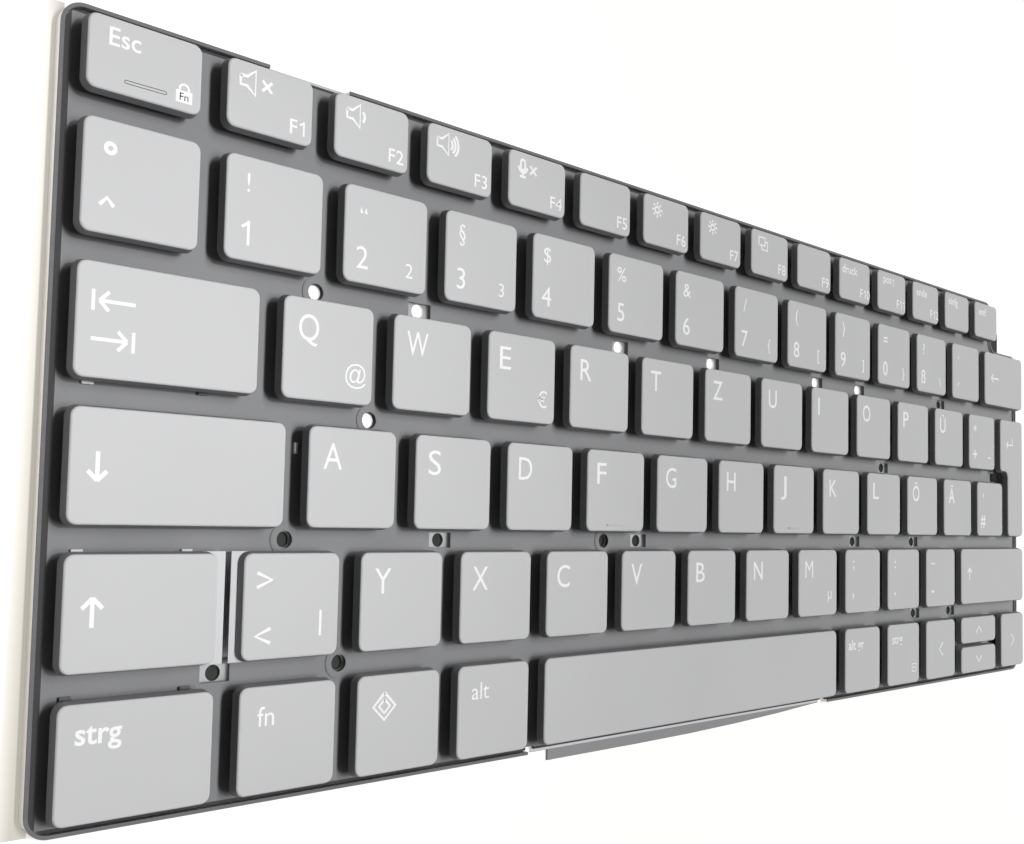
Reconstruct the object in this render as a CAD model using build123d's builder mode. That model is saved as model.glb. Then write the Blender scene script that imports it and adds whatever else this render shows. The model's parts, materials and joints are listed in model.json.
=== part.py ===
from build123d import *

import os
from math import asin, atan, degrees

# Laptop replacement keyboard, lying on its back plate.
# Millimetres, +X to the right, +Y to the function row, +Z up, origin at the middle of the underside.

# Key grid
key_pitch = 19.05
row_pitch = 18.05
cap_gap_x = 3.85
cap_gap_y = 3.65
arrow_gap = 1.1
function_cap_depth = 9.4
enter_width = 14.025
edge_key_extra = 0.3

# Rows from front to back, each with its first even key in key pitches from the left end of the field
row_indents = {"space": 1.25, "lower": 1.25, "home": 1.75, "upper": 1.5, "number": 1.0}
upper_names = ["q", "w", "e", "r", "t", "z", "u", "i", "o", "p", "u_umlaut", "plus"]
home_names = ["a", "s", "d", "f", "g", "h", "j", "k", "l", "o_umlaut", "a_umlaut", "hash"]
lower_names = ["angle_bracket", "y", "x", "c", "v", "b", "n", "m", "comma", "full_stop", "hyphen"]
left_names = ["function", "system", "alt"]
right_names = ["alt_graph", "control_right", "arrow_left"]
long_names = ["backspace", "tab", "caps_lock", "shift_right", "space"]
space_keys = 5
number_keys = 12
function_keys = 14

# Heights
plate_thickness = 0.4
membrane_thickness = 0.6
rim_height = 1.7
rim_thickness = 0.5
cap_rise = 2.0
cap_height = 1.5
cap_roof = 0.7
cap_wall = 0.7
cap_flare = 0.3
cap_corner_cut = 0.7
homing_bar_length = 5.0
homing_bar_width = 0.4
homing_bar_height = 0.2
homing_bar_inset = 1.1

# Base tray
side_margin = 2.4
end_margin = 1.9
tray_corner = 3.0
notch_margin = 1.4
free_corner_length = 16.2
membrane_gap = 0.15
tongue_reach = 1.85
tongue_flat = 24.0
tongue_inset = 4.9
relief_width = 2.0
relief_depth = 1.2
back_gap_start = 26.9
back_gap_length = 13.6

# Screw places along the gap in front of each row, in key pitches from the left end of the field
screw_hole_radius = 1.1
ring_radius = 2.0
window_length = 4.4
window_width = 2.4
ring_places = {"number": [1.89], "upper": [2.42], "home": [1.685, 5.186], "lower": [2.2]}
window_places = {
    "number": [2.898, 5.386, 6.866, 8.908, 9.874, 12.026],
    "upper": [10.467, 13.675],
    "home": [3.176, 5.696, 9.769, 11.255],
    "lower": [1.16, 11.307, 12.304],
}
shift_window_width = 5.6
shift_slot_width = 0.8

# Scissor levers, domes and stabiliser wires
lever_wall_room = 0.55
lever_arm = 0.9
lever_thickness = 0.7
lever_end_room = 1.8
lever_side_gap = 0.2
seat_clearance = 0.05
small_lever_arm = 0.5
small_lever_room = 0.25
dome_radius = 2.6
dome_lean = 0.9
small_dome_room = 0.075
small_dome_lean = 0.4
dome_sides = 5
wire_thickness = 0.6
wire_reach = 6.0
wire_end_room = 3.0
wire_wall_room = 0.3

# Sizes that follow
cap_width = key_pitch - cap_gap_x
cap_depth = row_pitch - cap_gap_y
field_width = edge_key_extra + (row_indents["upper"] + len(upper_names)) * key_pitch + enter_width
function_row_length = field_width - free_corner_length - key_pitch
function_pitch = (function_row_length + cap_gap_x) / function_keys
function_cap_width = function_pitch - cap_gap_x
deck_top = plate_thickness + membrane_thickness
cap_bottom = deck_top + cap_rise
cap_top = cap_bottom + cap_height
cap_ceiling = cap_top - cap_roof
cap_draft = degrees(atan(cap_flare / cap_height))
field_depth = len(row_indents) * row_pitch + function_cap_depth
tray_length = field_width + 2 * side_margin
tray_depth = field_depth + 2 * end_margin
tray_back = (tray_depth + tongue_reach) / 2
tray_front = tray_back - tray_depth
tray_middle = (tray_back + tray_front) / 2
field_left = -field_width / 2
field_right = field_width / 2
first_row = tray_front + end_margin + cap_depth / 2
row_y = {name: first_row + row * row_pitch for row, name in enumerate(row_indents)}
function_y = row_y["number"] + cap_depth / 2 + cap_gap_y + function_cap_depth / 2


def column_left(row, column):
    """Left end of the cap in this column of a named row."""
    return field_left + edge_key_extra + (row_indents[row] + column) * key_pitch


def cap_span(left, right, y, depth=cap_depth):
    """Middle and size of a cap top: x, y, width, depth."""
    return ((left + right) / 2, y, right - left, depth)


def even_spans(names, row, first_column=0):
    """Cap tops of a run of even keys, by name."""
    spans = {}
    for column, name in enumerate(names, first_column):
        left = column_left(row, column)
        spans[name] = cap_span(left, left + cap_width, row_y[row])
    return spans


def first_span(row):
    """Cap top of the key at the left end of a row."""
    return cap_span(field_left, column_left(row, 0) - cap_gap_x, row_y[row])


def last_span(row, column):
    """Cap top of the key at the right end of a row."""
    return cap_span(column_left(row, column), field_right, row_y[row])


# Cap tops of every key that has its own node
space_column = len(left_names)
right_column = space_column + space_keys
arrow_column = right_column + len(right_names)
enter_left = column_left("upper", len(upper_names))
enter_step = column_left("home", len(home_names))
arrow_depth = (cap_depth - arrow_gap) / 2
arrow_shift = (arrow_depth + arrow_gap) / 2
arrow_left = column_left("space", arrow_column)
arrow_right = enter_left - cap_gap_x
space_left = column_left("space", space_column)
space_right = column_left("space", right_column) - cap_gap_x

caps = {"escape": cap_span(field_left, field_left + cap_width, function_y, function_cap_depth)}
caps["backspace"] = last_span("number", number_keys)
caps["tab"] = first_span("upper")
caps.update(even_spans(upper_names, "upper"))
caps["enter"] = last_span("upper", len(upper_names))
enter_foot = cap_span(enter_step, field_right, (row_y["upper"] + row_y["home"]) / 2, row_pitch + cap_depth)
caps["caps_lock"] = first_span("home")
caps.update(even_spans(home_names, "home"))
caps["shift_left"] = first_span("lower")
caps.update(even_spans(lower_names, "lower"))
caps["shift_right"] = last_span("lower", len(lower_names))
caps["control_left"] = first_span("space")
caps.update(even_spans(left_names, "space"))
caps["space"] = cap_span(space_left, space_right, row_y["space"])
caps.update(even_spans(right_names, "space", right_column))
caps["arrow_up"] = cap_span(arrow_left, arrow_right, row_y["space"] + arrow_shift, arrow_depth)
caps["arrow_down"] = cap_span(arrow_left, arrow_right, row_y["space"] - arrow_shift, arrow_depth)
caps["arrow_right"] = cap_span(enter_left, field_right, row_y["space"])

# Cap tops of the two rows that share a node each
number_spans = [first_span("number")]
number_spans += even_spans(range(number_keys), "number").values()
function_start = field_left + key_pitch
function_lefts = [function_start + column * function_pitch for column in range(function_keys)]
function_spans = [
    cap_span(left, left + function_cap_width, function_y, function_cap_depth)
    for left in function_lefts
]
function_right = field_right - free_corner_length


def place(span):
    """Location of a cap's middle."""
    return Location((span[0], span[1]))


def draw_caps(spans):
    """Hollow caps with drafted walls and flat tops, in the open part; spans that overlap make one cap."""
    for span in spans:
        with BuildSketch(Plane.XY.offset(cap_bottom)) as skirt:
            with Locations(place(span)):
                Rectangle(span[2] + 2 * cap_flare, span[3] + 2 * cap_flare)
            chamfer(skirt.vertices(), cap_corner_cut)
        extrude(skirt.sketch, amount=cap_height, taper=cap_draft)
    with BuildSketch(Plane.XY.offset(cap_bottom)) as pockets:
        for span in spans:
            with Locations(place(span)):
                Rectangle(span[2] - 2 * cap_wall, span[3] - 2 * cap_wall)
    extrude(pockets.sketch, amount=cap_ceiling - cap_bottom, mode=Mode.SUBTRACT)


def lever_plane(length, turn):
    """Plane of a lever at the origin: its local -Y end stands on the deck, its +Y end meets the cap."""
    rise = cap_ceiling - deck_top - 2 * seat_clearance - lever_thickness
    middle = (cap_ceiling + deck_top) / 2
    along = Vector(1, 0, 0).rotate(Axis.Z, turn)
    normal = Vector(0, 0, 1).rotate(Axis((0, 0, 0), along), degrees(asin(rise / length)))
    return Plane((0, 0, middle), x_dir=along, z_dir=normal)


def make_fork(width, length, arm, thickness, turn):
    """Two arms joined by a bar at their upper end."""
    with BuildPart() as fork:
        with BuildSketch(lever_plane(length, turn)):
            Rectangle(width, length)
            with Locations((0, -arm)):
                Rectangle(width - 2 * arm, length, mode=Mode.SUBTRACT)
        extrude(amount=thickness / 2, both=True)
    return fork.part


def add_levers(spans, width, length, arm, turn):
    """An outer and an inner lever that cross under each cap, in the open part."""
    outer = make_fork(width, length, arm, lever_thickness, 0)
    inner = make_fork(width - 2 * (arm + lever_side_gap), length, arm, lever_thickness, 180)
    with Locations([Location((x, y), turn) for x, y, cap_x, cap_y in spans]):
        add([outer, inner])


def draw_domes(spans, radius, lean):
    """Flat-sided domes from the deck to the cap ceilings, in the open part."""
    dome_height = cap_ceiling - deck_top - seat_clearance
    with BuildSketch(Plane.XY.offset(deck_top)) as feet:
        with Locations([place(span) for span in spans]):
            RegularPolygon(radius, dome_sides)
    extrude(feet.sketch, amount=dome_height, taper=degrees(atan(lean / dome_height)))


os.makedirs("parts", exist_ok=True)

# Outline of the base tray, with its back right corner left free
with BuildSketch() as tray_outline:
    with Locations((0, tray_middle)):
        Rectangle(tray_length, tray_depth)
    with Locations((function_right + side_margin, row_y["number"] + cap_depth / 2 + notch_margin)):
        Rectangle(tray_length, tray_depth, align=(Align.MIN, Align.MIN), mode=Mode.SUBTRACT)
    fillet(tray_outline.vertices(), tray_corner)


def screw_points(places):
    """Screw places as points in the gap in front of each named row."""
    points = []
    for row, steps in places.items():
        points += [(field_left + step * key_pitch, row_y[row] - row_pitch / 2) for step in steps]
    return points


ring_points = screw_points(ring_places)
window_points = screw_points(window_places)
tongue_left = space_left + tongue_inset
tongue_right = space_right
shift_window_x = column_left("lower", 0) - cap_gap_x / 2

# Base tray: floor, upturned rim with gaps, front tongue between relief cuts, screw holes
with BuildPart() as base_plate:
    add(tray_outline.sketch)
    extrude(amount=rim_height)
    with BuildSketch(Plane.XY.offset(plate_thickness)):
        add(tray_outline.sketch)
        offset(amount=-rim_thickness)
    extrude(amount=rim_height, mode=Mode.SUBTRACT)
    with BuildSketch(Plane.XY.offset(plate_thickness)):
        with Locations((field_left + back_gap_start, tray_back)):
            Rectangle(back_gap_length, 2 * rim_thickness, align=(Align.MIN, Align.CENTER))
        with Locations((space_left, tray_front)):
            Rectangle(tongue_right - space_left, 2 * rim_thickness, align=(Align.MIN, Align.CENTER))
    extrude(amount=rim_height, mode=Mode.SUBTRACT)
    with BuildSketch():
        with BuildLine():
            end = Line((tongue_left, tray_front + rim_thickness), (tongue_left, tray_front - tongue_reach))
            lip = Line(end @ 1, end @ 1 + Vector(tongue_flat, 0))
            bow = TangentArc(lip @ 1, (tongue_right, tray_front), tangent=lip % 1)
            back = Line(bow @ 1, bow @ 1 + Vector(0, rim_thickness))
            Line(back @ 1, end @ 0)
        make_face()
    extrude(amount=plate_thickness)
    with BuildSketch():
        with Locations((space_left, tray_front), (tongue_right, tray_front)):
            Rectangle(relief_width, 2 * relief_depth)
        with Locations(ring_points + window_points):
            Circle(screw_hole_radius)
        with Locations((shift_window_x, row_y["lower"])):
            Rectangle(shift_slot_width, cap_depth)
    extrude(amount=rim_height, mode=Mode.SUBTRACT)
base_plate.part.label = "base_plate"
export_step(base_plate.part, "parts/base_plate.step")

# Dark membrane that lies in the tray, with round and square windows at the screws
with BuildPart() as membrane_sheet:
    with BuildSketch(Plane.XY.offset(plate_thickness)):
        add(tray_outline.sketch)
        offset(amount=-rim_thickness - membrane_gap)
        with Locations((space_left, tray_front), (tongue_right, tray_front)):
            Rectangle(relief_width, 2 * relief_depth, mode=Mode.SUBTRACT)
        with Locations(ring_points):
            Circle(ring_radius, mode=Mode.SUBTRACT)
        with Locations(window_points):
            Rectangle(window_length, window_width, mode=Mode.SUBTRACT)
        with Locations((shift_window_x, row_y["lower"])):
            Rectangle(shift_window_width, cap_depth, mode=Mode.SUBTRACT)
    extrude(amount=membrane_thickness)
membrane_sheet.part.label = "membrane_sheet"
export_step(membrane_sheet.part, "parts/membrane_sheet.step")

# Key groups by the mechanism under them
arrow_spans = [caps["arrow_up"], caps["arrow_down"]]
short_spans = function_spans + [caps["escape"]]
own_spans = [span for span in caps.values() if span[3] == cap_depth]
full_spans = own_spans + number_spans

# Lever sizes: the narrowest full caps set the width; under the half-height arrow caps the levers lie crosswise
lever_width = function_cap_width - 2 * (cap_wall + lever_wall_room)
full_length = cap_depth - 2 * lever_end_room
short_length = function_cap_depth - 2 * lever_end_room
small_width = arrow_depth - 2 * (cap_wall + small_lever_room)
small_opening = small_width - 2 * (small_lever_arm + lever_side_gap + small_lever_arm)

with BuildPart() as rubber_domes:
    draw_domes(full_spans + short_spans, dome_radius, dome_lean)
    draw_domes(arrow_spans, small_opening / 2 - small_dome_room, small_dome_lean)
rubber_domes.part.label = "rubber_domes"
export_step(rubber_domes.part, "parts/rubber_domes.step")

with BuildPart() as scissor_levers:
    add_levers(full_spans, lever_width, full_length, lever_arm, 0)
    add_levers(short_spans, lever_width, short_length, lever_arm, 0)
    add_levers(arrow_spans, small_width, full_length, small_lever_arm, 90)
scissor_levers.part.label = "scissor_levers"
export_step(scissor_levers.part, "parts/scissor_levers.step")

# Stabiliser wires that keep the long caps level, turned under the lower half of Enter
wire_y = cap_depth / 2 - cap_wall - wire_wall_room - wire_reach / 2
long_spans = [caps[name] for name in long_names]
wires = []
for x, y, width, depth in long_spans:
    wire = make_fork(width - 2 * wire_end_room, wire_reach, wire_thickness, wire_thickness, 0)
    wires.append(Pos(x, y + wire_y) * wire)
enter_wire = make_fork(full_length, wire_reach, wire_thickness, wire_thickness, -90)
wires.append(Pos(enter_foot[0], row_y["home"]) * enter_wire)
with BuildPart() as stabiliser_wires:
    add(wires)
stabiliser_wires.part.label = "stabiliser_wires"
export_step(stabiliser_wires.part, "parts/stabiliser_wires.step")

# Caps of the number and function rows
with BuildPart() as number_row_keys:
    draw_caps(number_spans)
number_row_keys.part.label = "number_row_keys"
export_step(number_row_keys.part, "parts/number_row_keys.step")

with BuildPart() as function_row_keys:
    draw_caps(function_spans)
function_row_keys.part.label = "function_row_keys"
export_step(function_row_keys.part, "parts/function_row_keys.step")

# Caps that travel one by one
for name, span in caps.items():
    with BuildPart() as key:
        draw_caps([span, enter_foot] if name == "enter" else [span])
        if name in ("f", "j"):
            bar_y = span[1] - cap_depth / 2 + homing_bar_inset
            with BuildSketch(Plane.XY.offset(cap_top)):
                with Locations((span[0], bar_y)):
                    Rectangle(homing_bar_length, homing_bar_width)
            extrude(amount=homing_bar_height)
    key.part.label = "key_" + name
    export_step(key.part, "parts/key_" + name + ".step")
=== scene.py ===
# %% [markdown]
# A laptop's replacement keyboard, dressed in Blender around its CAD model. The CAD gives a tray, a dark
# deck sheet, the mechanism and one solid per key, so sizes and places come from there. This lesson adds
# what the CAD leaves out: soft edges, printed legends, a few small pieces in the lanes, finishes, light and
# the camera.

import json
from math import cos, pi, radians, sin

import bpy
from mathutils import Euler, Matrix, Vector

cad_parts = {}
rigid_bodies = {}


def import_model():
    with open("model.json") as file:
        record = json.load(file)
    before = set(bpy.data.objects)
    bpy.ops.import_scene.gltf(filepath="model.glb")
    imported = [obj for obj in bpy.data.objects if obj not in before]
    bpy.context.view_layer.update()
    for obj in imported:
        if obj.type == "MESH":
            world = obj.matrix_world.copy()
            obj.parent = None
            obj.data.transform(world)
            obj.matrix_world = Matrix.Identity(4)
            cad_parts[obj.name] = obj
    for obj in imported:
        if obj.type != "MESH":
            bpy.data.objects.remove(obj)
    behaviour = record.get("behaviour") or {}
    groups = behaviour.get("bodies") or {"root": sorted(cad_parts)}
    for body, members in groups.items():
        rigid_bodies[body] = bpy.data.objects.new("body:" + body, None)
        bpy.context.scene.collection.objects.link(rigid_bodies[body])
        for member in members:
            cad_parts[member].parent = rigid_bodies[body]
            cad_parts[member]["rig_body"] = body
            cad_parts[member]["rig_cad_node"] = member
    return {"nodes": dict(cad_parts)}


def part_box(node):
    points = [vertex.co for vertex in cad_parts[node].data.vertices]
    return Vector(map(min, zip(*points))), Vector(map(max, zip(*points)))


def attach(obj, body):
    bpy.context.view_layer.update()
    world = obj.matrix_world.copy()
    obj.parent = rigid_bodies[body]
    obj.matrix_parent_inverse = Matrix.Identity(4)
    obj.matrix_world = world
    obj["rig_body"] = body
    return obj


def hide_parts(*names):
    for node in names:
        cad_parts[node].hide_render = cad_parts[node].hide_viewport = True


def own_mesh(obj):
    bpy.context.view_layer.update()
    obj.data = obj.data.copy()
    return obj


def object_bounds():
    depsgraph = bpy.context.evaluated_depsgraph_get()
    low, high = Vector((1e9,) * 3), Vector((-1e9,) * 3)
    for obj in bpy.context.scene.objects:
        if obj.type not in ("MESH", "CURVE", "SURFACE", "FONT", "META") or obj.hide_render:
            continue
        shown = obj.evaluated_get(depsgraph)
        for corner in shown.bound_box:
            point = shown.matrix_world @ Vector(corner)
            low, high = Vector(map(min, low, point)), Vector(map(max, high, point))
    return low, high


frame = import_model()
cad_low, cad_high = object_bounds()
mm = 0.001
print("CAD box in mm:", [round(side / mm, 2) for side in cad_high - cad_low])

# %% [markdown]
# The camera comes first, because everything is compared with the photograph. Its place was solved from the
# even key grid: the camera hangs a little beyond the left end and looks down along the rows, with the back
# row at the top of the picture. A small upward shift puts the optical axis where the photograph has it.

# %% Camera
camera_place = Vector((-186.45, -10.95, 138.7)) * mm
camera_right = Vector((0.7356, 0.0216, 0.6771))
camera_forward = Vector((0.6751, 0.0595, -0.7353))
photo_width = 1024
focal_pixels = 1104.5
axis_drop_pixels = 30.7

right = camera_right.normalized()
back = -(camera_forward - right * camera_forward.dot(right)).normalized()
up = back.cross(right)
camera = bpy.data.objects.new("camera", bpy.data.cameras.new("camera"))
bpy.context.scene.collection.objects.link(camera)
camera.matrix_world = Matrix.Translation(camera_place) @ Matrix((right, up, back)).transposed().to_4x4()
camera.data.lens = focal_pixels / photo_width * camera.data.sensor_width
camera.data.shift_y = axis_drop_pixels / photo_width
camera.data.clip_start = 1 * mm
bpy.context.scene.camera = camera
print("lens", round(camera.data.lens, 2), "mm")

# %% [markdown]
# Finishes are written as sums. One small class wraps a socket, so that 1 - mask or grain * 0.2 adds the
# Math nodes, and one method makes every other node, for a finish and for the world. That keeps each one
# short.

# %% Shader sums


class Wire:
    """One socket in a node tree; sums of it add Math nodes."""

    def __init__(self, owner, socket):
        self.owner = owner
        self.socket = socket

    def sum(self, operation, first, second):
        return self.owner.node("ShaderNodeMath", {"operation": operation}, {0: first, 1: second})

    def __add__(self, other):
        return self.sum("ADD", self, other)

    def __radd__(self, other):
        return self.sum("ADD", other, self)

    def __sub__(self, other):
        return self.sum("SUBTRACT", self, other)

    def __rsub__(self, other):
        return self.sum("SUBTRACT", other, self)

    def __mul__(self, other):
        return self.sum("MULTIPLY", self, other)

    def __rmul__(self, other):
        return self.sum("MULTIPLY", other, self)

    def __abs__(self):
        return self.sum("ABSOLUTE", self, 0.0)

    def above(self, limit):
        return self.sum("GREATER_THAN", self, limit)

    def larger(self, other):
        return self.sum("MAXIMUM", self, other)


class Nodes:
    """A node tree; node() makes every node in it."""

    def __init__(self, tree):
        self.tree = tree

    def fill(self, node, sockets):
        for name, value in sockets.items():
            if isinstance(value, Wire):
                self.tree.links.new(value.socket, node.inputs[name])
            else:
                node.inputs[name].default_value = value

    def node(self, kind, settings, sockets, output=0):
        made = self.tree.nodes.new(kind)
        for name, value in settings.items():
            setattr(made, name, value)
        self.fill(made, sockets)
        return Wire(self, made.outputs[output])

    def looked_at(self):
        """1 for what the camera sees straight, mirrored or through something clear, and 0 otherwise."""
        kinds = ("Is Camera Ray", "Is Glossy Ray", "Is Transmission Ray")
        straight, mirrored, passed = (self.node("ShaderNodeLightPath", {}, {}, kind) for kind in kinds)
        return straight.larger(mirrored).larger(passed)


class Finish(Nodes):
    """A material with one Principled shader, filled in by name."""

    def __init__(self, name, **constants):
        self.material = bpy.data.materials.new(name)
        self.material.use_nodes = True
        super().__init__(self.material.node_tree)
        self.shader = self.tree.nodes["Principled BSDF"]
        self.fill(self.shader, constants)

    def place(self):
        return self.node("ShaderNodeTexCoord", {}, {}, "Object")

    def along(self, axis):
        return self.node("ShaderNodeSeparateXYZ", {}, {"Vector": self.place()}, axis)

    def outside(self, low, high):
        """Distance beyond a box seen from above; below zero inside it."""
        middle, half = (low + high) / 2, (high - low) / 2
        beyond_x = abs(self.along("X") - middle.x) - half.x
        beyond_y = abs(self.along("Y") - middle.y) - half.y
        return beyond_x.larger(beyond_y)

    def noise(self, scale, detail=2.0, stretch=(1, 1, 1)):
        spot = self.node("ShaderNodeMapping", {}, {"Vector": self.place(), "Scale": stretch})
        return self.node("ShaderNodeTexNoise", {}, {"Vector": spot, "Scale": scale, "Detail": detail})

    def mix(self, factor, first, second):
        sockets = {"Factor": factor, 6: first, 7: second}
        return self.node("ShaderNodeMix", {"data_type": "RGBA"}, sockets, 2)

    def bump(self, height, depth):
        sockets = {"Height": height, "Distance": depth, "Strength": 1.0}
        return self.node("ShaderNodeBump", {}, sockets)

    def surface(self, **sockets):
        self.fill(self.shader, {name.replace("_", " "): value for name, value in sockets.items()})


print("shader sums ready")

# %% [markdown]
# The caps are moulded plastic with a fine matt grey coat. Up close the coat is a tight grain that scatters
# light, and over a whole cap its tone drifts a little. Both are noise on Object coordinates, so the grain
# has its real size. The walls are much darker than the tops; that darkness is painted shade, a mask by
# height giving what lies below the top edge a darker grey.

# %% Cap paint and legend ink
matt = {"Specular IOR Level": 0.12}
wall_shade_reach = 0.2 * mm
cap_paint = Finish("cap_paint", **matt)
grain = cap_paint.noise(9000.0)
drift = cap_paint.noise(45.0)
tone = 0.35 * grain + 0.65 * drift
# Painted shade: below the top edge the walls take a darker grey than the top.
top_above_wall_shade = cap_paint.along("Z").above(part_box("key_q")[1].z - wall_shade_reach)
top_colour = cap_paint.mix(tone, (0.58, 0.582, 0.59, 1), (0.64, 0.642, 0.648, 1))
cap_paint.surface(
    Base_Color=cap_paint.mix(top_above_wall_shade, (0.27, 0.272, 0.28, 1), top_colour),
    Roughness=0.5 + 0.16 * grain,
    Normal=cap_paint.bump(grain, 0.012 * mm),
)

legend_ink = Finish("legend_ink", **matt)
speckle = legend_ink.noise(7000.0)
legend_ink.surface(
    Base_Color=legend_ink.mix(speckle, (0.95, 0.95, 0.95, 1), (1, 1, 1, 1)),
    Roughness=0.45 + 0.1 * speckle,
)

flange_coat = Finish("flange_coat", **matt)
dust = flange_coat.noise(9000.0)
flange_coat.surface(
    Base_Color=flange_coat.mix(dust, (0.60, 0.602, 0.61, 1), (0.70, 0.702, 0.71, 1)),
    Roughness=0.5 + 0.16 * dust,
)

slit_line = Finish("slit_line", Roughness=0.5)
smear = slit_line.noise(3000.0)
slit_line.surface(Base_Color=slit_line.mix(smear, (0.05, 0.05, 0.05, 1), (0.12, 0.12, 0.12, 1)))
print("cap finishes:", [finish.material.name for finish in (cap_paint, legend_ink, flange_coat, slit_line)])

# %% [markdown]
# The deck is a satin plastic sheet, a little cloudy and paler to the right, with painted shade along its
# edge by the rim, wider at the left end. The tray is thin rolled steel: its brushing runs along the rows,
# so the noise is stretched along X. The top of its rim has a dark coat and the front tongue a grey one.
# Bare metal shows below that, in the windows and on the outer wall, with a painted highlight on the left
# outer wall, so the place in the part picks the colour.

# %% Deck, tray and mechanism finishes
satin = {"Specular IOR Level": 0.2}
deck_film = Finish("deck_film", **satin)
cloud = deck_film.noise(60.0, 4.0)
pore = deck_film.noise(6000.0)
sheet_low, sheet_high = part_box("membrane_sheet")
rim_shade_width, left_shade_extra = 0.4 * mm, 0.5 * mm
# Painted shade: a dark band along the sheet's edge by the rim, wider at the left end.
rim_shade_line = deck_film.outside(sheet_low + Vector((left_shade_extra, 0, 0)), sheet_high).above(-rim_shade_width)
# Cloud and pores, and a paler tone towards the right end.
cloud_paler_rightward = 0.7 * cloud + 0.3 * pore + 2.5 * deck_film.along("X")
sheet = deck_film.mix(cloud_paler_rightward, (0.22, 0.222, 0.228, 1), (0.35, 0.352, 0.356, 1))
deck_film.surface(
    Base_Color=deck_film.mix(rim_shade_line, sheet, (0.06, 0.06, 0.062, 1)),
    Roughness=0.42 + 0.18 * cloud,
    Normal=deck_film.bump(pore, 0.008 * mm),
)

tongue_end = sheet_low.y - 0.6 * mm
coat_foot = 1.5 * mm
left_highlight_end = cad_low.x + 0.35 * mm
steel_plate = Finish("steel_plate", **satin)
brush = steel_plate.noise(900.0, 3.0, (0.04, 1, 1))
blotch = steel_plate.noise(120.0)
uneven = 0.6 * brush + 0.4 * blotch
tongue = 1.0 - steel_plate.along("Y").above(tongue_end)
coated = steel_plate.along("Z").above(coat_foot).larger(tongue)
rolled = steel_plate.mix(uneven, (0.50, 0.505, 0.515, 1), (0.70, 0.705, 0.715, 1))
# Painted highlight: the left outer wall takes a near-white steel colour.
left_wall_highlight = 1.0 - steel_plate.along("X").above(left_highlight_end)
bare_steel = steel_plate.mix(left_wall_highlight, rolled, (0.92, 0.91, 0.89, 1))
rim_coat = steel_plate.mix(uneven, (0.13, 0.13, 0.135, 1), (0.22, 0.22, 0.225, 1))
dark_coat = steel_plate.mix(tongue, rim_coat, (0.30, 0.302, 0.308, 1))
steel_plate.surface(
    Base_Color=steel_plate.mix(coated, bare_steel, dark_coat),
    Metallic=1.0 - 0.9 * coated,
    Roughness=0.32 + 0.2 * brush,
    Normal=steel_plate.bump(brush, 0.01 * mm),
)

lug_steel = Finish("lug_steel", Metallic=0.6)
streak = lug_steel.noise(800.0, 3.0, (1, 0.05, 1))
lug_steel.surface(
    Base_Color=lug_steel.mix(streak, (0.82, 0.82, 0.83, 1), (0.92, 0.92, 0.93, 1)),
    Roughness=0.35 + 0.15 * streak,
)

lever_plastic = Finish("lever_plastic")
flow = lever_plastic.noise(500.0)
lever_plastic.surface(
    Base_Color=lever_plastic.mix(flow, (0.10, 0.10, 0.105, 1), (0.16, 0.16, 0.165, 1)),
    Roughness=0.28 + 0.12 * flow,
)

dome_rubber = Finish("dome_rubber")
bloom = dome_rubber.noise(700.0)
dome_rubber.surface(
    Base_Color=dome_rubber.mix(bloom, (0.20, 0.20, 0.20, 1), (0.28, 0.28, 0.28, 1)),
    Roughness=0.6 + 0.15 * bloom,
)

wire_steel = Finish("wire_steel", Metallic=1.0)
draw = wire_steel.noise(1500.0, 2.0, (0.05, 1, 1))
wire_steel.surface(
    Base_Color=wire_steel.mix(draw, (0.48, 0.48, 0.49, 1), (0.62, 0.62, 0.63, 1)),
    Roughness=0.25 + 0.1 * draw,
)

for node, finish in (("base_plate", steel_plate), ("membrane_sheet", deck_film)):
    frame["nodes"][node].data.materials.clear()
    frame["nodes"][node].data.materials.append(finish.material)
print("finishes:", [material.name for material in bpy.data.materials])

# %% [markdown]
# Each cap is a low box with drafted walls, rounded corners and a softened top edge. A flat outline is laid
# at the skirt, its corners are rounded, and one inset with depth raises the drafted walls and the top
# together. A bevel softens the top edge, and Solidify gives the hollow. A bigger cap only needs another
# outline. The step of the Enter cap lies a set distance to the right of the key beside it.

# %% Caps: one model per size
cap_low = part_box("key_q")[0].z
cap_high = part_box("key_q")[1].z
cap_flare = 0.3 * mm
cap_corner = 1.5 * mm
edge_round = 0.28 * mm
cap_skin = 0.6 * mm
enter_step_room = 3.25 * mm
smooth_angle = radians(40)
flat_angle = radians(1)
modelled = {}


def deselect_all():
    bpy.ops.object.select_all(action="DESELECT")


def finish_modifier(piece, kind, **settings):
    modifier = piece.modifiers.new(kind.lower(), kind)
    for name, value in settings.items():
        setattr(modifier, name, value)
    bpy.context.view_layer.objects.active = piece
    bpy.ops.object.modifier_apply(modifier=modifier.name)


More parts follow.
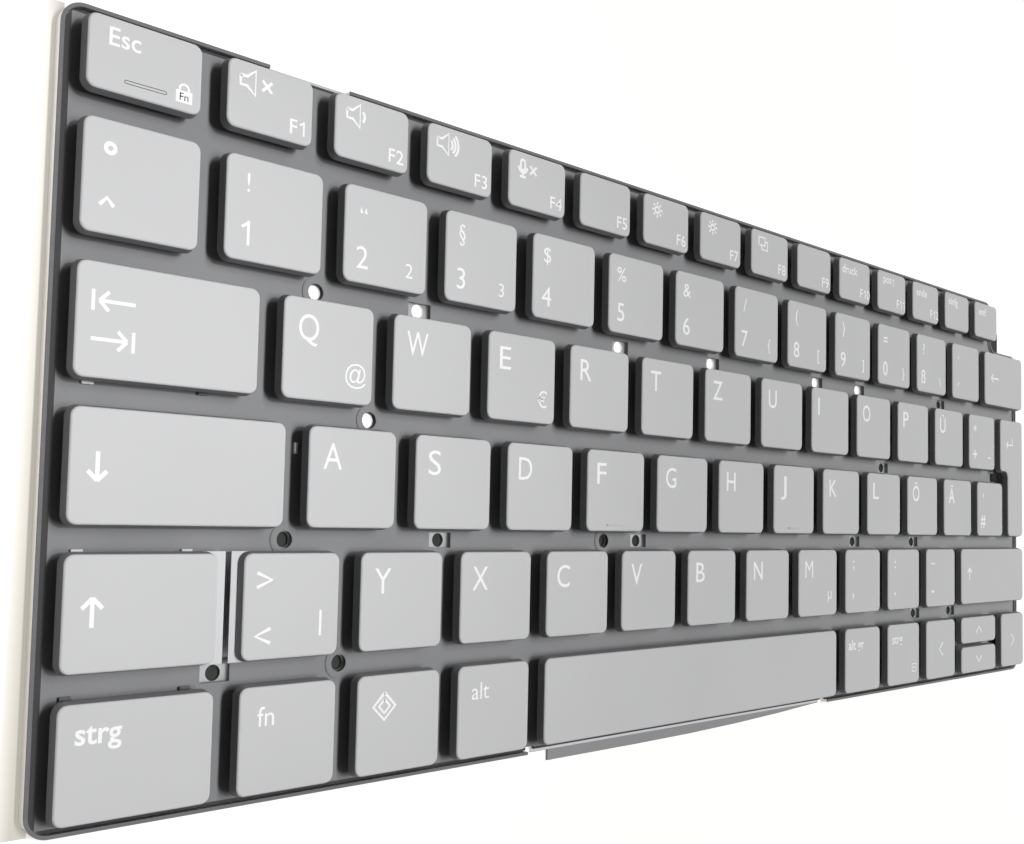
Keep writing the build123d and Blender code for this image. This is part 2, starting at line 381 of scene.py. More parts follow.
def model_cap(name, width, depth, step=None):
    """A cap with its skirt's middle at the origin; step cuts away the front left corner."""
    deselect_all()
    bpy.ops.mesh.primitive_plane_add(size=1, location=(0, 0, cap_low))
    piece = bpy.context.object
    piece.name = name
    bpy.ops.object.mode_set(mode="EDIT")
    bpy.ops.transform.resize(value=(width, depth, 1))
    if step:
        for point, normal in (((step[0], 0, 0), (1, 0, 0)), ((0, step[1], 0), (0, 1, 0))):
            bpy.ops.mesh.select_all(action="SELECT")
            bpy.ops.mesh.bisect(plane_co=point, plane_no=normal)
        bpy.ops.mesh.select_mode(type="FACE")
        bpy.ops.mesh.select_all(action="DESELECT")
        bpy.ops.object.mode_set(mode="OBJECT")
        for face in piece.data.polygons:
            face.select = face.center.x < step[0] and face.center.y < step[1]
        bpy.ops.object.mode_set(mode="EDIT")
        bpy.ops.mesh.delete(type="FACE")
        bpy.ops.mesh.select_all(action="SELECT")
        bpy.ops.mesh.dissolve_limited(angle_limit=flat_angle)
    bpy.ops.mesh.select_mode(type="VERT")
    bpy.ops.mesh.select_all(action="SELECT")
    bpy.ops.mesh.bevel(offset=cap_corner, segments=5, affect="VERTICES", clamp_overlap=False)
    bpy.ops.mesh.select_mode(type="FACE")
    bpy.ops.mesh.select_all(action="SELECT")
    bpy.ops.mesh.inset(thickness=cap_flare, depth=cap_high - cap_low)
    bpy.ops.mesh.region_to_loop()
    bpy.ops.mesh.bevel(offset=edge_round, segments=3, affect="EDGES", clamp_overlap=False)
    bpy.ops.object.mode_set(mode="OBJECT")
    finish_modifier(piece, "SOLIDIFY", thickness=cap_skin, offset=-1)
    bpy.ops.object.transform_apply(location=True, rotation=True, scale=True)
    bpy.ops.object.shade_smooth_by_angle(angle=smooth_angle)
    finish_modifier(piece, "WEIGHTED_NORMAL", keep_sharp=True)
    piece.data.materials.append(cap_paint.material)
    piece.hide_render = True
    piece.hide_viewport = True
    return piece


def make_cap(name, low, high, step=None):
    """A copy of the cap model of this size, moved to its place."""
    size = (round((high.x - low.x) / mm, 2), round((high.y - low.y) / mm, 2), bool(step))
    if size not in modelled:
        modelled[size] = model_cap("model", high.x - low.x, high.y - low.y, step)
    mesh = modelled[size].data.copy()
    mesh.transform(Matrix.Translation(((low.x + high.x) / 2, (low.y + high.y) / 2, 0)))
    piece = bpy.data.objects.new(name, mesh)
    bpy.context.scene.collection.objects.link(piece)
    return piece


def row_boxes(node):
    """Boxes of the separate caps in a row node, from left to right, from where its faces lie."""
    mesh = frame["nodes"][node].data
    low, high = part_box(node)
    spans = []
    for face in sorted(mesh.polygons, key=lambda f: min(mesh.vertices[i].co.x for i in f.vertices)):
        xs = [mesh.vertices[i].co.x for i in face.vertices]
        if spans and min(xs) < spans[-1][1]:
            spans[-1][1] = max(spans[-1][1], max(xs))
        else:
            spans.append([min(xs), max(xs)])
    return [(Vector((left, low.y, low.z)), Vector((right, high.y, high.z))) for left, right in spans]


caps = {}
for node in frame["nodes"]:
    if node.startswith("key_"):
        low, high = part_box(node)
        step = None
        if node == "key_enter":
            middle = (low + high) / 2
            step_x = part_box("key_hash")[1].x + enter_step_room - middle.x
            step = (step_x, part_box("key_plus")[0].y - middle.y)
        name = node.removeprefix("key_")
        piece = make_cap("cap_" + name, low, high, step)
        caps[name] = {"piece": piece, "low": low, "high": high, "body": name}
        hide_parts(node)
for node in ("number_row_keys", "function_row_keys"):
    for place, (low, high) in enumerate(row_boxes(node)):
        name = node.removesuffix("_keys") + "_" + str(place)
        piece = make_cap("cap_" + name, low, high)
        caps[name] = {"piece": piece, "low": low, "high": high, "body": "tray"}
        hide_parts(node)
for model in modelled.values():
    bpy.data.objects.remove(model)
print("caps:", len(caps), "from", len(modelled), "models")

# %% [markdown]
# The legends are white print, made two hundredths of a millimetre thick. Words and letters are text objects
# turned into meshes, and signs are flat ribbons along a few points. Each is placed from the cap's left edge
# and its middle line, and later joined to its cap, so that it travels with the key. Places, heights and
# widths of print are given in millimetres. The photograph's letters are more even in width than the
# built-in font's, so a letter can be drawn part of the way to one width.

# %% Legend tools
print_height = cap_high
ink = 0.02 * mm
layer_lift = 0.004 * mm
own_share, even_share = 0.45, 0.55
one_stroke_share = 0.13
prints = {}


def letter_ratio():
    """Height of a capital letter in the built-in font, per unit of size."""
    deselect_all()
    bpy.ops.object.text_add()
    sample = bpy.context.object
    sample.data.body = "H"
    bpy.context.view_layer.update()
    ratio = sample.dimensions.y / sample.data.size
    bpy.data.objects.remove(sample)
    return ratio


capital = letter_ratio()


def lay_print(key, piece, x, y, anchor, finish):
    """Move a flat mesh to its place on a cap and keep it for joining."""
    cap = caps[key]
    corners = [vertex.co for vertex in piece.data.vertices]
    shift_x = shift_y = 0
    if anchor == "left":
        shift_x = -min(c.x for c in corners)
    elif anchor == "middle":
        shift_x = -(min(c.x for c in corners) + max(c.x for c in corners)) / 2
        shift_y = -(min(c.y for c in corners) + max(c.y for c in corners)) / 2
    middle_y = (cap["low"].y + cap["high"].y) / 2
    left = cap["low"].x + cap_flare
    spot = (left + x * mm + shift_x, middle_y + y * mm + shift_y, print_height)
    piece.data.transform(Matrix.Translation(spot))
    piece.data.materials.clear()
    piece.data.materials.append(finish.material)
    prints.setdefault(key, []).append(piece)


def word(key, text, x, y, height, anchor="middle", weight=0.0, even=None, finish=legend_ink):
    """Print a word or letter with capitals of this height; even draws its width towards that one."""
    deselect_all()
    bpy.ops.object.text_add()
    piece = bpy.context.object
    piece.data.body = text
    piece.data.size = height * mm / capital
    piece.data.resolution_u = 4
    piece.data.offset = weight * mm
    piece.data.extrude = ink / 2
    bpy.ops.object.convert(target="MESH")
    piece = bpy.context.object
    if even:
        stretch = own_share + even_share * even * mm / piece.dimensions.x
        piece.data.transform(Matrix.Scale(stretch, 4, (1, 0, 0)))
    lay_print(key, piece, x, y, anchor, finish)


def sign(key, strokes, x, y, width, finish=legend_ink):
    """Print a sign of flat ribbons along points about its middle; each lies a hair above the last."""
    curve = bpy.data.curves.new("sign", "CURVE")
    curve.dimensions = "3D"
    curve.twist_mode = "Z_UP"
    curve.extrude = width * mm / 2
    for layer, stroke in enumerate(strokes):
        spline = curve.splines.new("POLY")
        spline.points.add(len(stroke) - 1)
        for point, spot in zip(spline.points, stroke):
            point.co = (spot[0] * mm, spot[1] * mm, layer * layer_lift, 1)
            point.tilt = pi / 2
    piece = bpy.data.objects.new("sign", curve)
    bpy.context.scene.collection.objects.link(piece)
    deselect_all()
    piece.select_set(True)
    bpy.context.view_layer.objects.active = piece
    bpy.ops.object.convert(target="MESH")
    piece = bpy.context.object
    finish_modifier(piece, "SOLIDIFY", thickness=ink, offset=0)
    bpy.ops.object.shade_flat()
    lay_print(key, piece, x, y, "as drawn", finish)


def arrow(turn, length, head):
    """Strokes of an arrow that points along turn, in degrees from +X."""
    along = Vector((cos(radians(turn)), sin(radians(turn))))
    across = Vector((-along.y, along.x))
    tip = along * length / 2
    wings = [tip - along * head + across * head * side for side in (1, -1)]
    return [(-tip, tip), (wings[0], tip), (wings[1], tip)]


def arc(centre, radius, start, end, parts=10):
    """Points along an arc, angles in degrees."""
    angles = [radians(start + (end - start) * part / parts) for part in range(parts + 1)]
    return [(centre[0] + radius * cos(angle), centre[1] + radius * sin(angle)) for angle in angles]


def digit_one(height):
    """Strokes of a 1 with a flag."""
    stem, half = 0.08 * height, height / 2
    flag = [(stem, half - 0.08 * height), (stem - 0.3 * height, 0.22 * height)]
    return [[(stem, -half), (stem, half)], flag]


def label(key, text, x, y, height, pitch, weight=0.0):
    """Print capitals and digits at an even pitch about x."""
    for place, letter in enumerate(text):
        spot = x + (place - (len(text) - 1) / 2) * pitch
        if letter == "1":
            sign(key, digit_one(height), spot, y, one_stroke_share * height)
        else:
            word(key, letter, spot, y, height, weight=weight)


print("capital letter height per size:", round(capital, 3))

# %% [markdown]
# The letters sit top left, the shifted signs above the digits, and a third sign at the lower right. Keys
# with only a letter share one rule, so the tables name just what differs. Print looks a little heavier
# towards the right end of the photograph, so its weight grows with X. The M stays thin, because its strokes
# would meet.

# %% Letters, digits and words
letter_left, letter_base = 2.4, 1.15
letter_height, letter_width = 3.75, 2.75
upper_x, upper_mid, upper_height = 3.3, 3.6, 2.6
lower_x, lower_mid, lower_height = 3.2, -3.4, 3.3
corner_x, corner_mid, corner_height = 12.2, -3.1, 2.7
third_x, third_mid, third_height = corner_x - 0.3, -4.0, 2.2
tag_x, tag_mid, tag_height, tag_pitch, tag_weight = 11.0, -2.45, 2.1, 1.5, 0.02
small_x, small_mid, small_height, small_weight = 4.4, 2.3, 1.9, 0.03
near_weight, weight_gain = -0.03, 0.1


def far_weight(key):
    """How much a letter's outline grows, by the place of its cap along the rows."""
    gain = 0.0 if key == "m" else weight_gain
    return near_weight + gain * (caps[key]["low"].x - cad_low.x) / (cad_high.x - cad_low.x)


letters = {letter: letter.upper() for letter in "qwertzuiopasdfghjklyxcvbnm"}
letters.update({"u_umlaut": "Ü", "o_umlaut": "Ö", "a_umlaut": "Ä"})
for key, text in letters.items():
    even = None if text == "I" else letter_width
    word(key, text, letter_left, letter_base, letter_height, "left", far_weight(key), even)
for key, text in (("q", "@"), ("e", "€"), ("m", "µ")):
    word(key, text, corner_x, corner_mid, corner_height, weight=far_weight(key))

pairs = {
    "number_row_1": ("!", "", ""), "number_row_2": ("“", "2", "2"),
    "number_row_3": ("§", "3", "3"), "number_row_4": ("$", "4", ""), "number_row_5": ("%", "5", ""),
    "number_row_6": ("&", "6", ""), "number_row_7": ("/", "7", "{"), "number_row_8": ("(", "8", "["),
    "number_row_9": (")", "9", "]"), "number_row_10": ("=", "0", "}"), "number_row_11": ("?", "ß", "\\"),
    "number_row_12": ("`", "´", ""), "plus": ("*", "+", "~"), "hash": ("'", "#", ""),
    "comma": (";", ",", ""), "full_stop": (":", ".", ""), "hyphen": ("_", "-", ""),
}
for key, (above, below, third) in pairs.items():
    word(key, above, upper_x, upper_mid, upper_height, weight=far_weight(key))
    if below:
        word(key, below, lower_x, lower_mid, lower_height, weight=far_weight(key))
    if third:
        word(key, third, third_x, third_mid, third_height, weight=far_weight(key))
sign("number_row_1", digit_one(3.4), lower_x, lower_mid, 0.4)

for place in range(12):
    tag = "F" + str(place + 1)
    label("function_row_" + str(place), tag, tag_x, tag_mid, tag_height, tag_pitch, tag_weight)
for place, text in ((9, "druck"), (10, "pos"), (11, "ende"), (12, "einfg"), (13, "entf")):
    word("function_row_" + str(place), text, small_x, small_mid, small_height, weight=small_weight)
sign("function_row_10", digit_one(small_height), 7.2, 2.5, 0.25)

# Key, text, x and y of its middle, height and weight.
words = (
    ("escape", "Esc", 4.7, 2.3, 2.3, 0.03), ("control_left", "strg", 5.1, 3.0, 2.6, 0.06),
    ("function", "fn", 4.0, 3.2, 2.6, 0.0), ("alt", "alt", 4.6, 3.2, 2.6, 0.0),
    ("alt_graph", "alt gr", 4.6, 3.2, 2.2, 0.04), ("control_right", "strg", 4.4, 3.2, 2.2, 0.04),
)
for key, text, x, y, height, weight in words:
    word(key, text, x, y, height, weight=weight)
print("keys with print so far:", len(prints))

# %% [markdown]
# The signs on the keys at the left end are large in the photograph, so each is drawn stroke by stroke:
# tabulator arrows with a bar, shift arrows, a loudspeaker, a microphone and a padlock. Each call gives the
# strokes, the place of the sign's middle and the width of a stroke. The system key gets a plain diamond.

# %% Signs
bold_stroke = 0.55


def moved(strokes, x, y):
    """The same strokes, shifted."""
    return [[(spot[0] + x, spot[1] + y) for spot in stroke] for stroke in strokes]


sign("tab", moved(arrow(180, 4.6, 1.2), 0.35, 0) + [[(-2.75, -1.3), (-2.75, 1.3)]], 4.8, 2.4, 0.45)
sign("tab", moved(arrow(0, 4.6, 1.2), -0.35, 0) + [[(2.75, -1.3), (2.75, 1.3)]], 4.6, -2.4, 0.45)
sign("caps_lock", arrow(270, 3.6, 1.2), 3.5, 0.0, bold_stroke)
sign("shift_left", arrow(90, 3.6, 1.3), 3.6, 0.1, bold_stroke)
sign("number_row_0", [arc((0, 0), 0.6, 0, 360, 16)], 3.4, upper_mid, 0.55)
sign("number_row_0", [[(-0.9, -0.5), (0, 0.5), (0.9, -0.5)]], 3.2, -3.2, 0.5)
sign("angle_bracket", [[(-1.15, 1.0), (1.15, 0), (-1.15, -1.0)]], 3.1, upper_mid, 0.48)
sign("angle_bracket", [[(1.15, 1.0), (-1.15, 0), (1.15, -1.0)]], 3.1, -4.0, 0.48)
sign("angle_bracket", [[(0, -1.8), (0, 1.8)]], 12.2, -2.6, 0.4)
sign("shift_right", arrow(90, 3.2, 1.2), 4.6, 0.6, 0.45)
sign("backspace", arrow(180, 4.6, 1.2), 6.1, 0.2, 0.42)
sign("enter", arrow(180, 3.8, 1.0) + [[(1.9, -0.1), (1.9, 2.0)]], 5.6, 9.3, 0.42)
chevron = {
    "arrow_left": [[(0.9, 1.6), (-0.9, 0), (0.9, -1.6)]],
    "arrow_right": [[(-0.9, 1.6), (0.9, 0), (-0.9, -1.6)]],
    "arrow_up": [[(-1.6, -0.8), (0, 0.8), (1.6, -0.8)]],
    "arrow_down": [[(-1.6, 0.8), (0, -0.8), (1.6, 0.8)]],
}
for key, strokes in chevron.items():
    cap = caps[key]
    sign(key, strokes, (cap["high"].x - cap["low"].x - 2 * cap_flare) / 2 / mm, 0, 0.4)

diamonds = [[(0, reach), (reach, 0), (0, -reach), (-reach, 0), (0, reach)] for reach in (2.0, 1.0)]
sign("system", diamonds, 4.8, 2.6, 0.45)
menu_box = [(-1, -0.9), (1, -0.9), (1, 0.9), (-1, 0.9), (-1, -0.9)]
sign("control_right", [menu_box, [(-0.6, 0), (0.6, 0)]], 12.6, -3.6, 0.26)

cone = [(-0.2, 0.65), (1.1, 1.75), (1.1, -1.75), (-0.2, -0.65)]
speaker = [[(-1.2, 0.65)] + cone + [(-1.2, -0.65), (-1.2, 0.65)]]
cross = [[(-0.75, 0.75), (0.75, -0.75)], [(-0.75, -0.75), (0.75, 0.75)]]
microphone = [
    arc((0, 0.9), 0.5, 0, 180) + arc((0, 0.1), 0.5, 180, 360) + [(0.5, 0.9)],
    arc((0, 0.2), 1.0, 180, 360),
    [(0, -0.8), (0, -1.5)], [(-0.7, -1.5), (0.7, -1.5)],
]
sun = [arc((0, 0), 0.6, 0, 360, 12)]
sun += [[(0.95 * cos(turn), 0.95 * sin(turn)), (1.5 * cos(turn), 1.5 * sin(turn))]
        for turn in [radians(45 * part) for part in range(8)]]
screens = [[(-1.5, -0.4), (-1.5, 1.3), (0.7, 1.3), (0.7, -0.4), (-1.5, -0.4)],
           [(-0.5, -0.4), (-0.5, -1.3), (1.6, -1.3), (1.6, 0.5), (0.7, 0.5)]]
waves = [arc((0.6, 0), radius, -45, 45, 8) for radius in (1.1, 1.7, 2.3)]
sign("function_row_0", moved(speaker, -1.3, 0) + moved(cross, 1.6, 0), 4.3, 2.0, 0.42)
sign("function_row_1", moved(speaker, -1.0, 0) + moved(waves[:1], -0.8, 0), 4.2, 2.0, 0.42)
sign("function_row_2", moved(speaker, -1.3, 0) + moved(waves, -1.1, 0), 4.3, 2.0, 0.4)
sign("function_row_3", moved(microphone, -0.9, 0) + moved(cross, 1.5, 0), 4.0, 2.0, 0.4)
for place in (5, 6):
    sign("function_row_" + str(place), sun, 3.8, 2.1, 0.42)
sign("function_row_7", screens, 4.0, 2.0, 0.42)

hoop = [[(-0.65, 0.3), (-0.65, 0.5)] + arc((0, 0.5), 0.65, 180, 0) + [(0.65, 0.3)]]
lock_x, lock_mid, hoop_mid = 12.8, -2.8, -2.3
sign("escape", hoop, lock_x, hoop_mid, 0.3)
sign("escape", [[(-1.15, 0), (1.15, 0)]], lock_x, lock_mid, 1.6)
word("escape", "Fn", lock_x, lock_mid, 1.0, finish=cap_paint)
slit = [arc((-2.6, 0), 0.2, 90, 270) + arc((2.6, 0), 0.2, -90, 90) + [(-2.6, 0.2)]]
sign("escape", slit, 7.6, -3.0, 0.1, slit_line)
print("keys with print:", len(prints))

# %% [markdown]
# Each cap and its print become one object, so that the print goes down with the key. The cap is the active
# object, so the joined piece keeps its name and place.

# %% Join each print to its cap
for name, cap in caps.items():
    piece = cap["piece"]
    deselect_all()
    for part in prints.get(name, []):
        part.select_set(True)
    piece.select_set(True)
    bpy.context.view_layer.objects.active = piece
    if name in prints:
        bpy.ops.object.join()
    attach(piece, cap["body"])
print("caps dressed:", len(caps))

# %% [markdown]
# Two caps carry a small raised bar, so that the index fingers find their place without looking. A stretched
# cube with rounded edges, sunk halfway into the cap, is all it takes.

# %% Finding bars
bar_long, bar_wide, bar_proud = 5.0 * mm, 0.4 * mm, 0.2 * mm
bar_inset, bar_round = 1.1 * mm, 0.12 * mm
for name in ("f", "j"):
    cap = caps[name]
    deselect_all()
    spot = ((cap["low"].x + cap["high"].x) / 2, cap["low"].y + cap_flare + bar_inset, print_height)
    bpy.ops.mesh.primitive_cube_add(size=1, location=spot)
    bar = bpy.context.object
    bar.name = "finding_bar_" + name
    bpy.ops.object.mode_set(mode="EDIT")
    bpy.ops.transform.resize(value=(bar_long, bar_wide, 2 * bar_proud))
    bpy.ops.mesh.bevel(offset=bar_round, segments=3)
    bpy.ops.object.mode_set(mode="OBJECT")
    bpy.ops.object.transform_apply(location=True, rotation=True, scale=True)
    bpy.ops.object.shade_smooth_by_angle(angle=smooth_angle)
    bar.data.materials.append(cap_paint.material)
    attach(bar, name)
print("finding bars: 2")

# %% [markdown]
# Under each cap two levers cross like scissors around a rubber dome. The lever solids are right as they
# are, so a copy of the CAD mesh is merged, split into its loose parts and given soft edges. The parts are
# then grouped by the cap above them and attached to the tray. The domes are made again from a cone with
# a rounded top, because the solids are faceted.

# %% Levers, wires and domes
deck_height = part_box("membrane_sheet")[1].z
ceiling = cap_high - 0.7 * mm
lever_round = 0.12 * mm
dome_gap = 0.05 * mm
dome_radius, short_dome_radius = 2.4 * mm, 1.1 * mm
nub_share, nub_round_share = 0.62, 0.25
short_depth = 9 * mm


def cap_above(point):
    """Name of the cap whose box holds this point, seen from above."""
    for name, cap in caps.items():
        if cap["low"].x <= point.x <= cap["high"].x and cap["low"].y <= point.y <= cap["high"].y:
            return name
    raise ValueError("no cap above " + str(point))


def loose_parts(node):
    """The separate solids of a CAD node as new objects."""
    deselect_all()
    piece = frame["nodes"][node].copy()
    piece.data = piece.data.copy()
    piece.parent = None
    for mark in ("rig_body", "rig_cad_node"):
        del piece[mark]
    bpy.context.scene.collection.objects.link(piece)
    piece.select_set(True)
    bpy.context.view_layer.objects.active = piece
    bpy.ops.object.mode_set(mode="EDIT")
    bpy.ops.mesh.select_all(action="SELECT")
    bpy.ops.mesh.remove_doubles(threshold=0.001 * mm)
    bpy.ops.mesh.dissolve_limited(angle_limit=flat_angle)
    bpy.ops.mesh.separate(type="LOOSE")
    bpy.ops.object.mode_set(mode="OBJECT")
    return list(bpy.context.selected_objects)


def join_by_key(parts, prefix, finish, node):
    """Join the parts under each moving key, and all others into one piece, and attach them to the tray."""
    groups = {}
    for part in parts:
        corners = [vertex.co for vertex in part.data.vertices]
        middle = sum(corners, Vector()) / len(corners)
        name = cap_above(middle)
        groups.setdefault(name if caps[name]["body"] != "tray" else "fixed_rows", []).append(part)
    for name, members in groups.items():
        deselect_all()
        for member in members:
            member.select_set(True)
        bpy.context.view_layer.objects.active = members[0]
        if len(members) > 1:
            bpy.ops.object.join()
        piece = bpy.context.object
        piece.name = prefix + "_" + name
        finish_modifier(piece, "BEVEL", width=lever_round, segments=2, limit_method="ANGLE")
        bpy.ops.object.shade_smooth_by_angle(angle=smooth_angle)
        piece.data.materials.clear()
        piece.data.materials.append(finish.material)
        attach(piece, "tray")
        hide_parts(node)
        if name != "fixed_rows":
            name + "_travel"
            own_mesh(piece)
    return len(groups)


def make_dome(radius, spot):
    """A dome that narrows to a flat nub, standing on the deck."""
    tall = ceiling - dome_gap - deck_height
    deselect_all()
    bpy.ops.mesh.primitive_cone_add(
        vertices=16, radius1=radius, radius2=radius * nub_share, depth=tall,
        location=(spot.x, spot.y, deck_height + tall / 2),
    )
    dome = bpy.context.object
    bpy.ops.object.mode_set(mode="EDIT")
    bpy.ops.mesh.select_mode(type="FACE")
    bpy.ops.mesh.select_all(action="DESELECT")
    bpy.ops.object.mode_set(mode="OBJECT")
    top = max(dome.data.polygons, key=lambda face: face.center.z)
    top.select = True
    bpy.ops.object.mode_set(mode="EDIT")
    bpy.ops.mesh.bevel(offset=radius * nub_round_share, segments=3, affect="EDGES")
    bpy.ops.object.mode_set(mode="OBJECT")
    bpy.ops.object.transform_apply(location=True, rotation=True, scale=True)
    return dome


levers = loose_parts("scissor_levers")
lever_groups = join_by_key(levers, "levers", lever_plastic, "scissor_levers")
wires = loose_parts("stabiliser_wires")
wire_groups = join_by_key(wires, "wire", wire_steel, "stabiliser_wires")
domes = []
for name, cap in caps.items():
    short_cap = cap["high"].y - cap["low"].y < short_depth
    spot = (cap["low"] + cap["high"]) / 2
    if name == "enter":
        spot.y = (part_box("key_plus")[0].y + cap["high"].y) / 2
    domes.append(make_dome(short_dome_radius if short_cap else dome_radius, spot))
dome_groups = join_by_key(domes, "dome", dome_rubber, "rubber_domes")
print("groups under the keys:", lever_groups, wire_groups, dome_groups)

# %% [markdown]
# A few small things show in the lanes. A flat ring of film lies around five screw windows. The left Shift
# cap and its neighbour have flat flanges at the foot of their facing walls, with a slot between them. At
# some caps small ends peep out, made here as lugs that hold the levers. A ring is cut from a disc; the rest
# are blocks with soft edges. The lugs stay low enough for a pressed cap to clear them.

# %% Rings, flanges and lugs
ring_inner, ring_outer, ring_top = 1.25 * mm, 2.3 * mm, deck_height + 0.12 * mm
ring_thick, ring_round = 0.11 * mm, 0.04 * mm


def own(piece, name, finish, body="tray"):
    """Name a new piece, smooth it, give it its finish and let it follow its body."""
    piece.name = name
    bpy.ops.object.transform_apply(location=True, rotation=True, scale=True)
    bpy.ops.object.shade_smooth_by_angle(angle=smooth_angle)
    piece.data.materials.append(finish.material)
    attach(piece, body)


def make_ring(name, x, y):
    """A flat ring with softened edges, lying on the deck."""
    deselect_all()
    spot = (x, y, ring_top)
    bpy.ops.mesh.primitive_circle_add(vertices=48, radius=ring_outer, fill_type="NGON", location=spot)
    ring = bpy.context.object
    bpy.ops.object.mode_set(mode="EDIT")
    bpy.ops.mesh.select_all(action="SELECT")
    bpy.ops.mesh.inset(thickness=ring_outer - ring_inner)
    bpy.ops.mesh.delete(type="FACE")
    bpy.ops.object.mode_set(mode="OBJECT")
    finish_modifier(ring, "SOLIDIFY", thickness=ring_thick, offset=-1)
    finish_modifier(ring, "BEVEL", width=ring_round, segments=2, limit_method="ANGLE")
    own(ring, name, deck_film)


def make_block(name, low, high, soft, finish, body="tray"):
    """A block between two corners with softened edges."""
    deselect_all()
    bpy.ops.mesh.primitive_cube_add(size=1, location=(low + high) / 2)
    bpy.ops.object.mode_set(mode="EDIT")
    bpy.ops.transform.resize(value=high - low)
    bpy.ops.mesh.bevel(offset=soft, segments=3)
    bpy.ops.object.mode_set(mode="OBJECT")
    own(bpy.context.object, name, finish, body)


# Middles of the five windows, in millimetres.
ring_spots = [(-99.75, 21.48), (-89.65, 3.43), (-103.65, -14.63), (-36.96, -14.63), (-93.84, -32.68)]
for place, (x, y) in enumerate(ring_spots):
    make_ring("ring_" + str(place), x * mm, y * mm)

shift, bracket = caps["shift_left"], caps["angle_bracket"]
gap_middle = (shift["high"].x + bracket["low"].x) / 2
slot_left, slot_right = gap_middle - 0.2 * mm, gap_middle + 0.65 * mm
foot_low, foot_high = cap_low - 0.1 * mm, cap_low + 0.12 * mm
flange_reach, flange_round = 1.9 * mm, 0.05 * mm
low = Vector((shift["high"].x - flange_reach, shift["low"].y, foot_low))
high = Vector((slot_left, shift["high"].y, foot_high))
make_block("flange_shift_left", low, high, flange_round, flange_coat, "shift_left")
low = Vector((slot_right, bracket["low"].y, foot_low))
high = Vector((bracket["low"].x + flange_reach, bracket["high"].y, foot_high))
make_block("flange_angle_bracket", low, high, flange_round, flange_coat, "angle_bracket")

lug_middle = deck_height + 0.27 * mm
lug_half_across = Vector((0.75, 0.25, 0.27)) * mm
lug_half_along = Vector((0.25, 0.8, 0.27)) * mm
lug_round = 0.08 * mm
# Cap, place along its edge as a share of that edge from its middle, edge and finish.
lugs = (
    ("shift_left", -0.36, "back", lug_steel), ("shift_left", 0.34, "back", lug_steel),
    ("control_left", -0.39, "back", lever_plastic), ("control_left", 0.36, "back", lever_plastic),
    ("tab", -0.37, "front", lug_steel), ("tab", 0.24, "front", lever_plastic),
    ("caps_lock", 0.24, "right", lug_steel), ("a", 0.27, "left", lug_steel),
)
for place, (key, share, side, finish) in enumerate(lugs):
    low, high = caps[key]["low"], caps[key]["high"]
    if side in ("back", "front"):
        edge = high.y if side == "back" else low.y
        middle = Vector(((low.x + high.x) / 2 + share * (high.x - low.x), edge, lug_middle))
        half = lug_half_across
    else:
        edge = high.x if side == "right" else low.x
        middle = Vector((edge, (low.y + high.y) / 2 + share * (high.y - low.y), lug_middle))
        half = lug_half_along
    make_block("lug_" + str(place), middle - half, middle + half, lug_round, finish)
print("rings:", len(ring_spots), "flanges: 2", "lugs:", len(lugs))

# %% [markdown]
# The ground is white, with a painted warm shadow along the left wall of the tray. Under the tray, painted
# shadow makes the holes show dark in front and at the right; behind, they show white. One plane takes all
# of this: masks by place pick its colour, and a glow that only the camera sees, straight or mirrored, makes
# it white without lighting the part.

# %% Floor
deselect_all()
floor_size, floor_drop = 6, 0.05 * mm
bpy.ops.mesh.primitive_plane_add(size=floor_size, location=(0, 0, -floor_drop))
floor = bpy.context.object
floor.name = "floor"
floor_paper = Finish("floor_paper", Roughness=0.8, **{"Emission Strength": 1.0, "Specular IOR Level": 0.1})
under_low, under_high = Vector((-0.13, -0.045, 0)), Vector((0.13, 0.045, 0))
shadow_front, shadow_right = -5 * mm, 58 * mm
under = 1.0 - floor_paper.outside(under_low, under_high).above(0.0)
in_front = 1.0 - floor_paper.along("Y").above(shadow_front)
# Painted shadow: under the tray, in front and at the right, the floor is near black and does not glow.
shadow_under_tray = under * in_front.larger(floor_paper.along("X").above(shadow_right))
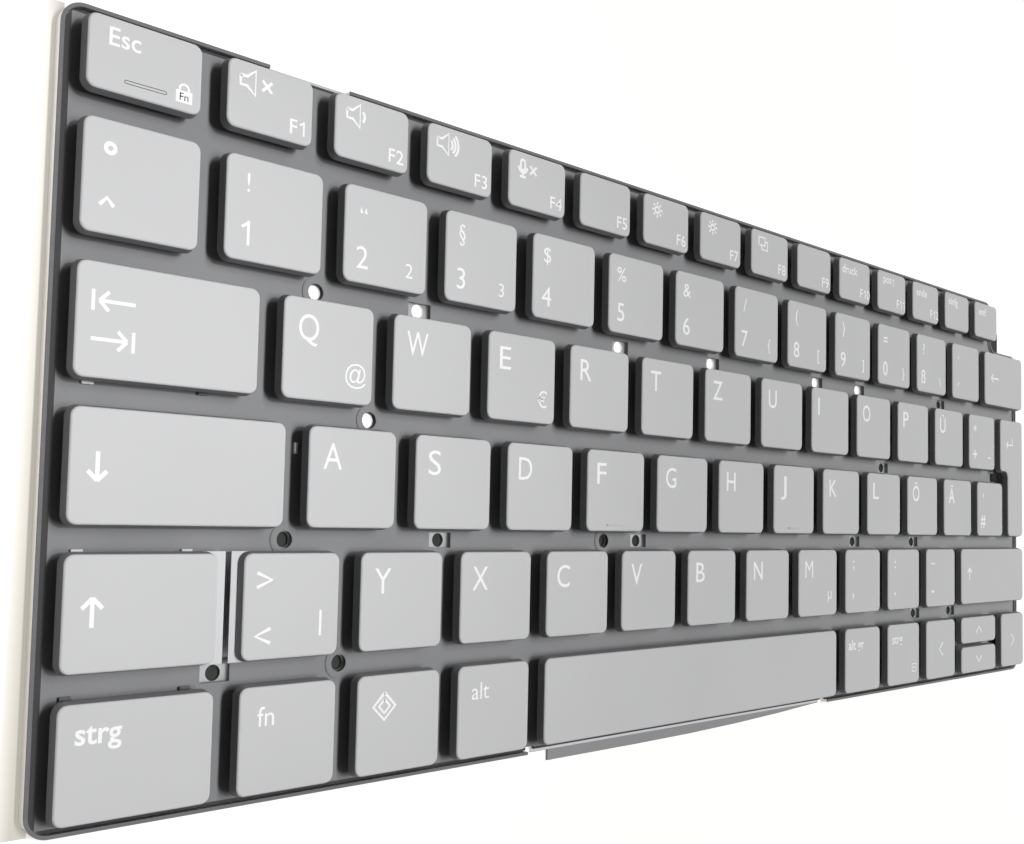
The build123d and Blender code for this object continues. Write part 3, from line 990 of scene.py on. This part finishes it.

# Painted shadow: a warm band on the floor along the left wall of the tray, deepening towards the wall.
shade_lean = 0.0153
shade_left, shade_right = cad_low.x - 1.85 * mm, cad_low.x + 1 * mm
shade_front, shade_back = cad_low.y + 2 * mm, cad_high.y
faintest, deepening = 0.4, 0.35 / mm
slant = floor_paper.along("X") - shade_lean * floor_paper.along("Y")
shade = slant.above(shade_left) * (1.0 - floor_paper.along("X").above(shade_right))
shade = shade * floor_paper.along("Y").above(shade_front) * (1.0 - floor_paper.along("Y").above(shade_back))
shade = shade * (faintest + deepening * (slant - shade_left))
paper = floor_paper.mix(shade, (0.70, 0.68, 0.66, 1), (0.30, 0.285, 0.25, 1))
shaded_glow = floor_paper.mix(shade, (0.50, 0.48, 0.455, 1), (0.38, 0.36, 0.32, 1))
glow = floor_paper.mix(under, shaded_glow, (0.92, 0.92, 0.92, 1))
floor_paper.surface(
    Base_Color=floor_paper.mix(shadow_under_tray, paper, (0.05, 0.055, 0.05, 1)),
    Emission_Color=floor_paper.mix(floor_paper.looked_at() * (1.0 - shadow_under_tray), (0, 0, 0, 1), glow),
)
floor.data.materials.append(floor_paper.material)
print("floor:", floor_paper.material.name)

# %% [markdown]
# The light in the photograph comes from almost straight above, a little from the right: each cap throws a
# narrow, sharp shadow to its left, while the lanes between the rows are softly shaded. One long lamp along
# Y does both, because it is narrow along the rows and long across them. The left end is lighter, so a spot
# from the same side lifts it. The world is white to the camera and gives only a faint light.

# %% World and lamps
pure_white = (1, 1, 1, 1)
ambient_strength = 0.06
world = bpy.data.worlds.new("studio")
bpy.context.scene.world = world
world.use_nodes = True
sky = Nodes(world.node_tree)
faint = sky.tree.nodes["Background"]
sky.fill(faint, {"Color": pure_white, "Strength": ambient_strength})
ambient = Wire(sky, faint.outputs[0])
white = sky.node("ShaderNodeBackground", {}, {"Color": pure_white, "Strength": 1.0})
blend = sky.node("ShaderNodeMixShader", {}, {0: sky.looked_at(), 1: ambient, 2: white})
sky.fill(sky.tree.nodes["World Output"], {"Surface": blend})

tilt_back, tilt_right = radians(-5), radians(14.5)
lamp_turn = Euler((tilt_back, tilt_right, 0))
lamp_side = lamp_turn.to_matrix() @ Vector((0, 0, 1))
overhead = bpy.data.objects.new("overhead_light", bpy.data.lights.new("overhead_light", "AREA"))
overhead.data.shape = "RECTANGLE"
overhead.data.size, overhead.data.size_y = 0.3, 2.2
overhead.data.energy = 74
overhead_distance = 3.0
overhead.location = lamp_side * overhead_distance

left_spot = bpy.data.objects.new("left_spot", bpy.data.lights.new("left_spot", "SPOT"))
left_spot.data.spot_size = radians(8.6)
left_spot.data.spot_blend = 1.0
left_spot.data.shadow_soft_size = 0.06
left_spot.data.energy = 24
spot_distance, pool_middle = 1.2, Vector((-0.13, 0.012, 0))
left_spot.location = lamp_side * spot_distance + pool_middle
for lamp in (overhead, left_spot):
    lamp.rotation_euler = lamp_turn
    lamp.visible_glossy = False
    bpy.context.scene.collection.objects.link(lamp)

bpy.context.scene.view_settings.view_transform = "Standard"
print("lamps: 2")
